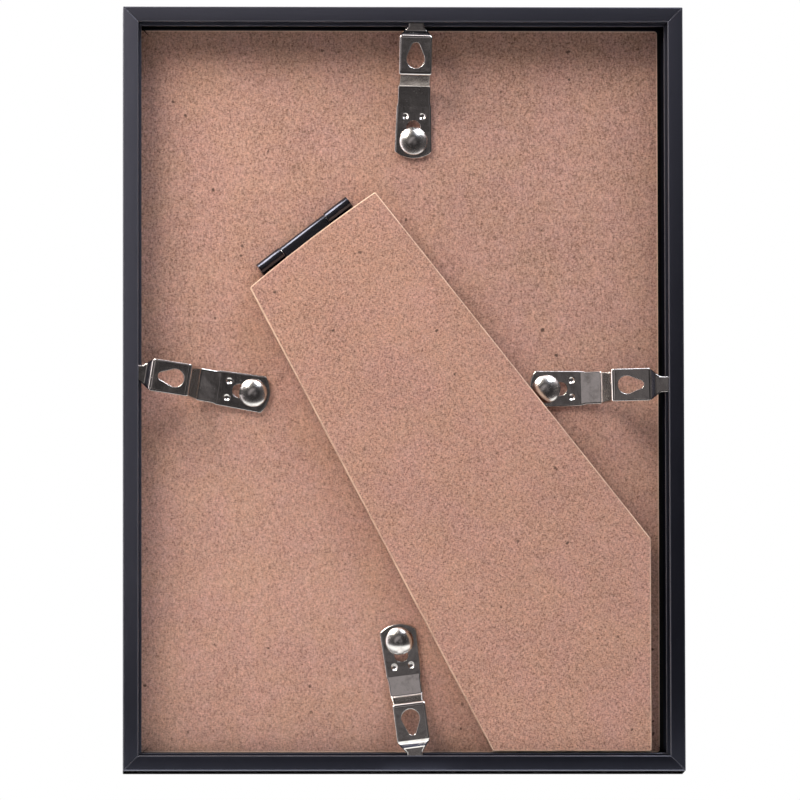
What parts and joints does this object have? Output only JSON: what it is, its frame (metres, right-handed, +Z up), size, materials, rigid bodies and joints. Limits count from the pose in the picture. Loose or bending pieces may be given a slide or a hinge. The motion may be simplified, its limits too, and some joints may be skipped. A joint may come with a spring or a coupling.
{
  "type": "easel back photo frame",
  "caption": "Slim black mitred photo frame with a hardboard back held by sliding turn clips with hanging holes, and a diagonal hinged strut for standing upright or sideways.",
  "frame": {"origin": "middle of the frame's underside, half way through its depth", "axes": "+Z up with the frame standing in portrait, the picture faces -Y and the back with its strut faces +Y"},
  "size_m": [0.139, 0.015, 0.19],
  "materials": {
    "black_rail": "semi gloss black moulding",
    "key_plastic": "moulded",
    "clear_glass": "clear float glass",
    "blank_paper": "plain uncoated",
    "hardboard": "smooth pressed fibre with small dark flecks",
    "nickel_plate": "bright nickel plating",
    "black_hinge": "glossy black lacquer",
    "pin_steel": "drawn wire"
  },
  "bodies": {
    "frame": {"rail_top": "black_rail", "rail_left": "black_rail", "rail_right": "black_rail", "rail_bottom": "black_rail", "corner_key_bottom_left": "key_plastic", "corner_key_bottom_right": "key_plastic", "corner_key_top_left": "key_plastic", "corner_key_top_right": "key_plastic", "glass": "clear_glass", "insert_sheet": "blank_paper", "back_panel": "hardboard", "hinge_panel_leaf": "black_hinge", "hinge_pin": "pin_steel"},
    "strut": {"strut": "hardboard", "hinge_strut_leaf": "black_hinge"},
    "rivet_top": {"rivet_top": "nickel_plate"},
    "clip_top": {"clip_top": "nickel_plate"},
    "rivet_left": {"rivet_left": "nickel_plate"},
    "clip_left": {"clip_left": "nickel_plate"},
    "rivet_right": {"rivet_right": "nickel_plate"},
    "clip_right": {"clip_right": "nickel_plate"},
    "rivet_bottom": {"rivet_bottom": "nickel_plate"},
    "clip_bottom": {"clip_bottom": "nickel_plate"}
  },
  "joints": [
    {"name": "strut_open", "type": "hinge", "parent": "frame", "child": "strut", "pos_m": [0.0244, 0.0011, 0.1334], "axis": [0.7934, 0, -0.6088], "range_deg": [0, 30]},
    {"name": "clip_top_turn", "type": "hinge", "parent": "frame", "child": "rivet_top", "pos_m": [-0.0027, -0.0005, 0.1572], "axis": [0, 1, 0], "range_deg": [-90, 90]},
    {"name": "clip_top_slide", "type": "slide", "parent": "rivet_top", "child": "clip_top", "axis": [-0.0209, 0, 0.9998], "range_m": [-0.0035, 0]},
    {"name": "clip_left_turn", "type": "hinge", "parent": "frame", "child": "rivet_left", "pos_m": [0.0372, -0.0005, 0.0943], "axis": [0, 1, 0], "range_deg": [-60, 90]},
    {"name": "clip_left_slide", "type": "slide", "parent": "rivet_left", "child": "clip_left", "axis": [0.9877, 0, 0.1564], "range_m": [-0.0035, 0]},
    {"name": "clip_right_turn", "type": "hinge", "parent": "frame", "child": "rivet_right", "pos_m": [-0.0356, -0.0005, 0.0953], "axis": [0, 1, 0], "range_deg": [-35, 90]},
    {"name": "clip_right_slide", "type": "slide", "parent": "rivet_right", "child": "clip_right", "axis": [-0.9997, 0, 0.0262], "range_m": [-0.0035, 0]},
    {"name": "clip_bottom_turn", "type": "hinge", "parent": "frame", "child": "rivet_bottom", "pos_m": [0.001, -0.0005, 0.0326], "axis": [0, 1, 0], "range_deg": [-90, 25]},
    {"name": "clip_bottom_slide", "type": "slide", "parent": "rivet_bottom", "child": "clip_bottom", "axis": [-0.1271, 0, -0.9919], "range_m": [-0.0035, 0]}
  ]
}
